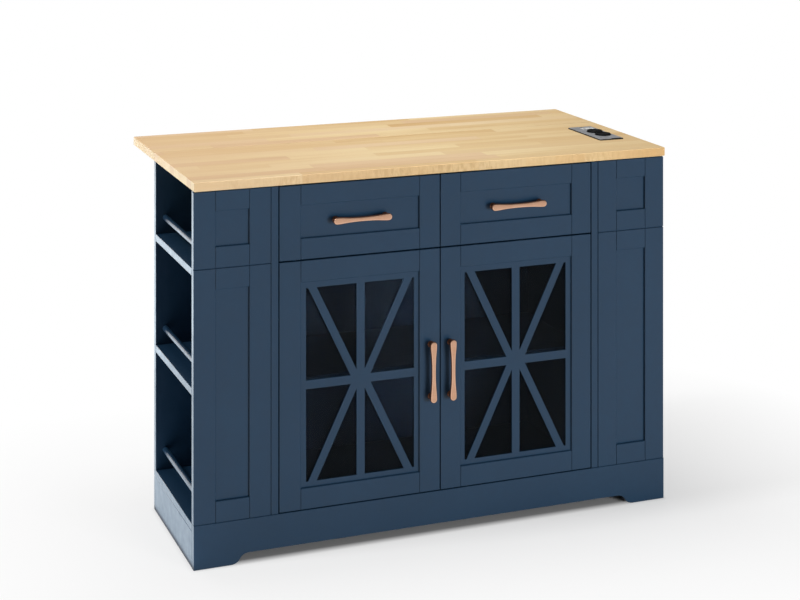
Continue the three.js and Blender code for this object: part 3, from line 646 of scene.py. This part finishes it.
# ------------------------------------------------------------------ screws
def cross_head(form, point, axis, radius=3.6, height=1.6):
    """A domed screw head with a cross recess, standing on a face."""
    axis = Vector(axis).normalized()
    side = axis.orthogonal().normalized()
    other = axis.cross(side)
    origin = Vector(point)

    def ring(points, level):
        return [origin + axis * level + side * u + other * v for u, v in points]

    arm, half = radius * 0.55, radius * 0.17
    cross = []
    for k in range(4):
        c, s = math.cos(math.pi * k / 2), math.sin(math.pi * k / 2)
        for u, v in ((half, half), (half * 1.3, arm), (-half * 1.3, arm)):
            cross.append((u * c - v * s, u * s + v * c))
    spread = [math.atan2(v, u) for u, v in cross]
    circle = [(math.cos(a), math.sin(a)) for a in spread]
    rings = [ring([(u * radius, v * radius) for u, v in circle], 0),
             ring([(u * radius * 0.98, v * radius * 0.98) for u, v in circle], height * 0.45),
             ring([(u * radius * 0.84, v * radius * 0.84) for u, v in circle], height * 0.82),
             ring([(u * radius * 0.66, v * radius * 0.66) for u, v in circle], height),
             ring(cross, height * 1.02), ring([(u * 0.8, v * 0.8) for u, v in cross],
                                              height * 0.3)]
    form.loft(rings)


def screws(name, body, places):
    """Cross-headed screws as one piece, each given by its place, axis and radius."""
    form = Form()
    for point, axis, radius in places:
        cross_head(form, point, axis, radius)
    form.finish(name, [steel], body, 30)


# The hinge cups with the half distance of their two screws, then the faces and sheet
# that the screws stand on, and the screws' places.
CUP_X, CUP_FROM_END, CUP_SCREW = 233.0, 90.0, 21.5
CUP_Z = (DOOR_Z[0] + CUP_FROM_END, DOOR_Z[1] - CUP_FROM_END)
PARTITION_FACE = 208.0
DOOR_BACK = 20.0
BRACKET_X = {"left": 250.0, "right": WIDTH - 250.0}
STEEL_SHEET = 2.0
BRACKET_SCREW_Z = (757, 790, 840)
TRACK_SCREW_Y = (450, 520, 580)
BACK_SCREWS = [(x, z) for x in (9, 199) for z in (140, 420, 690)]


def facing(side):
    """The X direction from a partition towards the middle of the cabinet."""
    return 1 if side == "left" else -1


for side in SIDES:
    inward = facing(side)
    screws(f"hinge_arm_screws_{side}", "cabinet",
           [((mirror_x(side, PARTITION_FACE + x), y, z), (inward, lean, 0), radius)
            for z in CUP_Z for x, y, lean, radius in ((2.5, 94, 0, 3.0),
                                                      (13.5, 72, 0.107, 3.4))])
    screws(f"hinge_cup_screws_{side}", f"door_{side}",
           [((mirror_x(side, CUP_X), DOOR_BACK + 1.5, z + step), (0, 1, 0), 3.2)
            for z in CUP_Z for step in (-CUP_SCREW, CUP_SCREW)])
    screws(f"door_pull_screws_{side}", f"door_{side}",
           [((mirror_x(side, DOOR_PULL_X), DOOR_BACK, DOOR_MIDDLE + step), (0, 1, 0), 4.2)
            for step in (-PULL["centres"] / 2, PULL["centres"] / 2)])
    screws(f"leaf_bracket_screws_{side}", "cabinet",
           [((BRACKET_X[side], DEPTH + STEEL_SHEET, z), (0, 1, 0), 4.0)
            for z in BRACKET_SCREW_Z])
    screws(f"leaf_track_screws_{side}", "leaf",
           [((BRACKET_X[side], y, TOP - WORKTOP_THICK - STEEL_SHEET), (0, 0, -1), 3.6)
            for y in TRACK_SCREW_Y])
    screws(f"back_panel_screws_{side}", "cabinet",
           [((mirror_x(side, x), DEPTH, z), (0, 1, 0), 3.2) for x, z in BACK_SCREWS])


# ------------------------------------------------------------------ fittings
# Places of the shelf pins and felt dots, and the (y, z) of the two pins that go through
# each wall bracket.
PIN_Y, PIN_Z = (95, 345), 383
DOT_X, DOT_Z = (410, 610), 697.5
LEAF_PIN, STAY_PIN = (413, 875), (407.5, 820)
BRACKET_HALF = 13.0


def glass_bead(side):
    """The mitred quarter-round bead that holds the pane in its rebate."""
    low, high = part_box(f"door_glass_{side}")
    x = [low[0] * 1000 + ORIGIN.x, high[0] * 1000 + ORIGIN.x]
    z = [low[2] * 1000, high[2] * 1000]
    front = high[1] * 1000 + ORIGIN.y + 0.2
    form = Form()
    profile = [(0.1, 0), (0.1, 5.6), (1.0, 6.2)]
    profile += [(1.0 + 6.2 * math.sin(math.radians(a)), 6.2 * math.cos(math.radians(a)))
                for a in (15, 35, 55, 75, 90)]
    sections = []
    for sx, sz in ((0, 0), (1, 0), (1, 1), (0, 1)):
        corner_x, corner_z = x[sx], z[sz]
        dx, dz = (1 if sx == 0 else -1), (1 if sz == 0 else -1)
        sections.append([(corner_x + dx * inward, front + out, corner_z + dz * inward)
                         for inward, out in profile])
    rings = sections + [sections[0]]
    form.loft(rings, close=False)
    form.finish(f"glass_bead_{side}", [paint], f"door_{side}", 30)


def shelf_pins(side):
    """Four steel pins that carry the inner shelf, two at each partition."""
    form = Form()
    inward = facing(side)
    for y in PIN_Y:
        start = (mirror_x(side, PARTITION_FACE), y, PIN_Z)
        form.turned([(3.8, 0), (4.0, 0.2), (4.0, 1.2), (2.5, 1.4), (2.5, 8.6), (2.1, 9)],
                    start, (inward, 0, 0), 24)
    form.finish(f"shelf_pins_{side}", [steel], "cabinet")


def door_dots(side):
    """Two felt dots on the back of each door, where it meets the shelf above it."""
    form = Form()
    for x in DOT_X:
        form.turned([(4.2, 0), (4.4, 0.2), (4.4, 0.6), (4.0, 0.9)],
                    (mirror_x(side, x), DOOR_BACK, DOT_Z), (0, 1, 0), 24)
    form.finish(f"door_dots_{side}", [grey_felt], f"door_{side}")


def stay_rivets(side):
    """The domed ends of the leaf's pin and of the stay's pin on a wall bracket."""
    form = Form()
    for (y, z), radius in ((LEAF_PIN, 4.6), (STAY_PIN, 4.0)):
        for way in (-1, 1):
            form.turned([(radius - 0.4, -0.4), (radius, 0), (radius * 0.95, 0.7),
                         (radius * 0.75, 1.3), (radius * 0.4, 1.7), (radius * 0.1, 1.8)],
                        (BRACKET_X[side] + way * BRACKET_HALF, y, z), (way, 0, 0), 24)
    form.finish(f"stay_rivets_{side}", [steel], "cabinet")


for side in SIDES:
    glass_bead(side)
    shelf_pins(side)
    door_dots(side)
    stay_rivets(side)


# ------------------------------------------------------------------ outlet
OUTLET_X, OUTLET_TOP = 1172.5, 913.0
SOCKET_X, SOCKET_Y = 1178.0, (199.0, 246.5)
BLADE_X = 6.0
USB_X, USB_Y, USB_STEP = 1181.0, 297.0, 9.0
USB_FLOOR, USB_TOP = 906.3, 913.35
# Each screw of the cover plate: how far aside of its middle, y and radius.
PLATE_SCREWS = ((0, 315.0, 2.4), (-18, 165.0, 2.0))
GLAND_Y, GLAND_Z = 272.5, 861.8


def socket_contacts(name, y):
    """The brass contacts that show in a socket's slots, and the ring round its face."""
    form = Form()
    floor = OUTLET_TOP + 1.0
    for x in (-BLADE_X, BLADE_X):
        for edge in (-0.85, 0.85):
            form.block((SOCKET_X + x + edge - 0.15, SOCKET_X + x + edge + 0.15),
                       (y + 0.2, y + 5.8), (floor, floor + 0.9), 0.05)
    form.finish(name, [brass], "cabinet")


def socket_rim(name, y):
    """A fine step around the foot of a socket."""
    form = Form()
    form.turned([(20.6, 0.05), (21.9, 0.05), (22.2, 0.3), (22.0, 0.6), (21.2, 0.7),
                 (20.6, 0.7)], (SOCKET_X, y, OUTLET_TOP), (0, 0, 1), 64)
    form.finish(name, [black_plastic], "cabinet", 50)


def usb_linings():
    """A dark lining in each port, with the light contact tongue along its right side."""
    form = Form()
    for x in (USB_X - USB_STEP, USB_X + USB_STEP):
        def ring(reach, z):
            return [(x + sx * (2.5 - reach), USB_Y + sy * (6.0 - reach), z)
                    for sx, sy in ((1, 1), (-1, 1), (-1, -1), (1, -1))]
        form.loft([ring(0.03, USB_FLOOR), ring(0.03, USB_TOP - 0.15), ring(0.25, USB_TOP),
                   ring(0.4, USB_TOP - 0.15), ring(0.4, USB_FLOOR + 0.4)], 0)
        form.block((x + 0.3, x + 1.8), (USB_Y - 5.0, USB_Y + 5.0),
                   (USB_FLOOR + 0.5, USB_TOP - 0.45), 0.2, 1)
    form.finish("usb_linings", [black_plastic, white_plastic], "cabinet")


def plate_screws():
    """The two small dark screws that hold the cover plate, at opposite ends."""
    form = Form()
    for aside, y, radius in PLATE_SCREWS:
        cross_head(form, (OUTLET_X + aside, y, OUTLET_TOP - 0.35), (0, 0, 1), radius, 0.6)
    form.finish("outlet_plate_screws", [black_plastic], "cabinet")


def gland_nut():
    """A ribbed nut around the cord gland below the outlet."""
    form = Form()
    form.turned([(6.2, 0), (9.0, 0.2), (9.6, 1.0), (9.6, 5.0), (9.0, 5.8), (6.2, 6.0)],
                (OUTLET_X, GLAND_Y, GLAND_Z), (0, 0, 1), 12)
    form.finish("gland_nut", [black_plastic], "cabinet")


for index, y in enumerate(SOCKET_Y):
    socket_contacts(f"socket_contacts_{index}", y)
    socket_rim(f"socket_rim_{index}", y)
usb_linings()
plate_screws()
gland_nut()


# ------------------------------------------------------------------ studio
def area_light(name, position, target, size, power, color=(1, 1, 1), glossy=True,
               through_glass=True):
    """A rectangular lamp aimed at a target. Without glossy it isn't mirrored, and without
    through_glass it doesn't show behind a pane."""
    data = bpy.data.lights.new(name, "AREA")
    data.shape = "RECTANGLE"
    data.size, data.size_y = size
    data.energy = power
    data.color = color
    light = bpy.data.objects.new(name, data)
    bpy.context.scene.collection.objects.link(light)
    light.location = position
    aim = Vector(target) - Vector(position)
    light.rotation_euler = aim.to_track_quat("-Z", "Y").to_euler()
    light.visible_camera = False
    light.visible_glossy = glossy
    light.visible_transmission = through_glass
    return light


area_light("key", (2.5, -7.0, 0.9), (0, 0, 0.5), (2.3, 2.0), 460, glossy=False)
area_light("top", (0, 0.35, 3.2), (0, 0.35, 0), (2.6, 0.9), 31)
area_light("side", (-5.4, 0, 6.3), (0, 0, 0.4), (0.75, 1.35), 295)
area_light("rim", (-2.3, 4.6, 1.0), (-0.4, 0, 0.5), (3.0, 2.0), 62, through_glass=False)

# Two low lamps beside the left end stand for the light that a bright floor sends up.
BOUNCE_X, BOUNCE_Z, BOUNCE_WIDTH = -1.43, 0.004, 1.6
BOUNCE_TINT = (0.74, 0.89, 1.0)
for name, y, length, power in (("near", 0.45, 1.7, 14), ("far", 2.85, 3.1, 52)):
    bounce = area_light(f"bounce_{name}", (BOUNCE_X, y, BOUNCE_Z), (BOUNCE_X, y, 9),
                        (BOUNCE_WIDTH, length), power, BOUNCE_TINT, through_glass=False)
    bounce.rotation_euler = (math.pi, 0, 0)

WORLD_LIGHT = 0.2


def studio_world():
    """White behind the object, and a dimmer even light on it."""
    world = bpy.data.worlds.new("studio")
    bpy.context.scene.world = world
    world.use_nodes = True
    tree = world.node_tree
    tree.nodes.clear()
    light_path = tree.nodes.new("ShaderNodeLightPath")
    level = tree.nodes.new("ShaderNodeMapRange")
    level.inputs["To Min"].default_value = WORLD_LIGHT
    level.inputs["To Max"].default_value = 1.0
    tree.links.new(light_path.outputs["Is Camera Ray"], level.inputs["Value"])
    background = tree.nodes.new("ShaderNodeBackground")
    background.inputs["Color"].default_value = (1, 1, 1, 1)
    tree.links.new(level.outputs[0], background.inputs["Strength"])
    world_out = tree.nodes.new("ShaderNodeOutputWorld")
    tree.links.new(background.outputs[0], world_out.inputs[0])


FLOOR_REACH, FLOOR_Z = 30, -0.0005


def studio_floor():
    """A pale floor that takes the object's shadow and turns to plain white further out."""
    s = Shader("studio_floor")
    at = s.coords()
    distance = s.node("ShaderNodeVectorMath", {0: at}, operation="LENGTH").outputs["Value"]

    # How far a point lies outside the plinth, or in under it.
    x, y = s.split(at)[:2]
    middle_y = (DEPTH / 2 - ORIGIN.y) / 1000
    past_x = s.math("SUBTRACT", s.math("ABSOLUTE", x), WIDTH / 2000)
    past_y = s.math("SUBTRACT", s.math("ABSOLUTE", s.math("SUBTRACT", y, middle_y)),
                    DEPTH / 2000)
    outside = s.node("ShaderNodeVectorMath", {
        0: s.join(s.math("MAXIMUM", past_x, 0.0), s.math("MAXIMUM", past_y, 0.0), 0.0)},
        operation="LENGTH").outputs["Value"]
    under = s.remap(s.math("MAXIMUM", past_x, past_y), 0.01, -0.02)
    path = s.node("ShaderNodeLightPath").outputs
    # Painted light: near the plinth the floor's white glow is stronger on the left than on
    # the right, as if light came from the left, and weaker again where the floor is seen in
    # reflections.
    near = s.math("SUBTRACT", s.remap(x, -0.7, 0.7, 0.70, 0.52),
                  s.math("MULTIPLY", path["Is Glossy Ray"], 0.36))
    glow = s.math("MULTIPLY", s.remap(outside, 0.0, 0.8, near, 1.0),
                  s.math("SUBTRACT", 1.0, under))
    looks = s.math("MAXIMUM", s.math("MAXIMUM", path["Is Camera Ray"],
                                     path["Is Glossy Ray"]), path["Is Transmission Ray"])
    # Painted shade: to light bouncing off it, the floor is darker near the object, which
    # darkens the cabinet's lower part.
    unseen = s.remap(distance, 0.5, 2.0, 0.25, 0.7)
    gray = s.blend(looks, unseen, 0.86)
    diffuse = s.node("ShaderNodeBsdfDiffuse", {"Color": s.join(gray, gray, gray)}).outputs[0]
    white = s.node("ShaderNodeEmission", {"Color": (1, 1, 1, 1), "Strength": 1.0}).outputs[0]
    mixed = s.node("ShaderNodeMixShader", {
        0: s.math("MULTIPLY", glow, looks), 1: diffuse, 2: white})
    s.tree.links.new(mixed.outputs[0], s.out.inputs[0])
    bm = bmesh.new()
    bmesh.ops.create_grid(bm, x_segments=8, y_segments=8, size=FLOOR_REACH)
    mesh = bpy.data.meshes.new("studio_floor")
    bm.to_mesh(mesh)
    bm.free()
    mesh.materials.append(s.material)
    floor = bpy.data.objects.new("studio_floor", mesh)
    floor.location.z = FLOOR_Z
    bpy.context.scene.collection.objects.link(floor)


studio_world()
studio_floor()

# ------------------------------------------------------------------ camera
# The photograph keeps the uprights parallel, as a view camera with its film held upright
# does. FOCAL is the distance to the film and RISE how far the horizon lies above the
# middle of the picture, both in pixels of a picture that is PICTURE_WIDTH wide.
PICTURE_WIDTH = 800
FOCAL, RISE = 1790.35, 486.5
TURN = math.radians(21.017)
EYE = Vector((-1.6778, -4.3959, 1.7744))

camera_data = bpy.data.cameras.new("camera")
camera_data.sensor_width = 36.0
camera_data.lens = camera_data.sensor_width * math.hypot(FOCAL, RISE) / PICTURE_WIDTH
camera_data.clip_end = 100.0
camera = bpy.data.objects.new("camera", camera_data)
stand = bpy.data.objects.new("camera_stand", None)
for made in (camera, stand):
    bpy.context.scene.collection.objects.link(made)
right = Vector((math.cos(TURN), -math.sin(TURN), 0))
ahead = Vector((math.sin(TURN), math.cos(TURN), 0))
back = -(ahead - Vector((0, 0, RISE / FOCAL))).normalized()
camera.parent = stand
camera.matrix_parent_inverse = Matrix((
    (right.x, 0, back.x, EYE.x), (right.y, 0, back.y, EYE.y),
    (right.z, 1, back.z, EYE.z), (0, 0, 0, 1)))
bpy.context.scene.camera = camera

bpy.context.scene.view_settings.view_transform = "Standard"
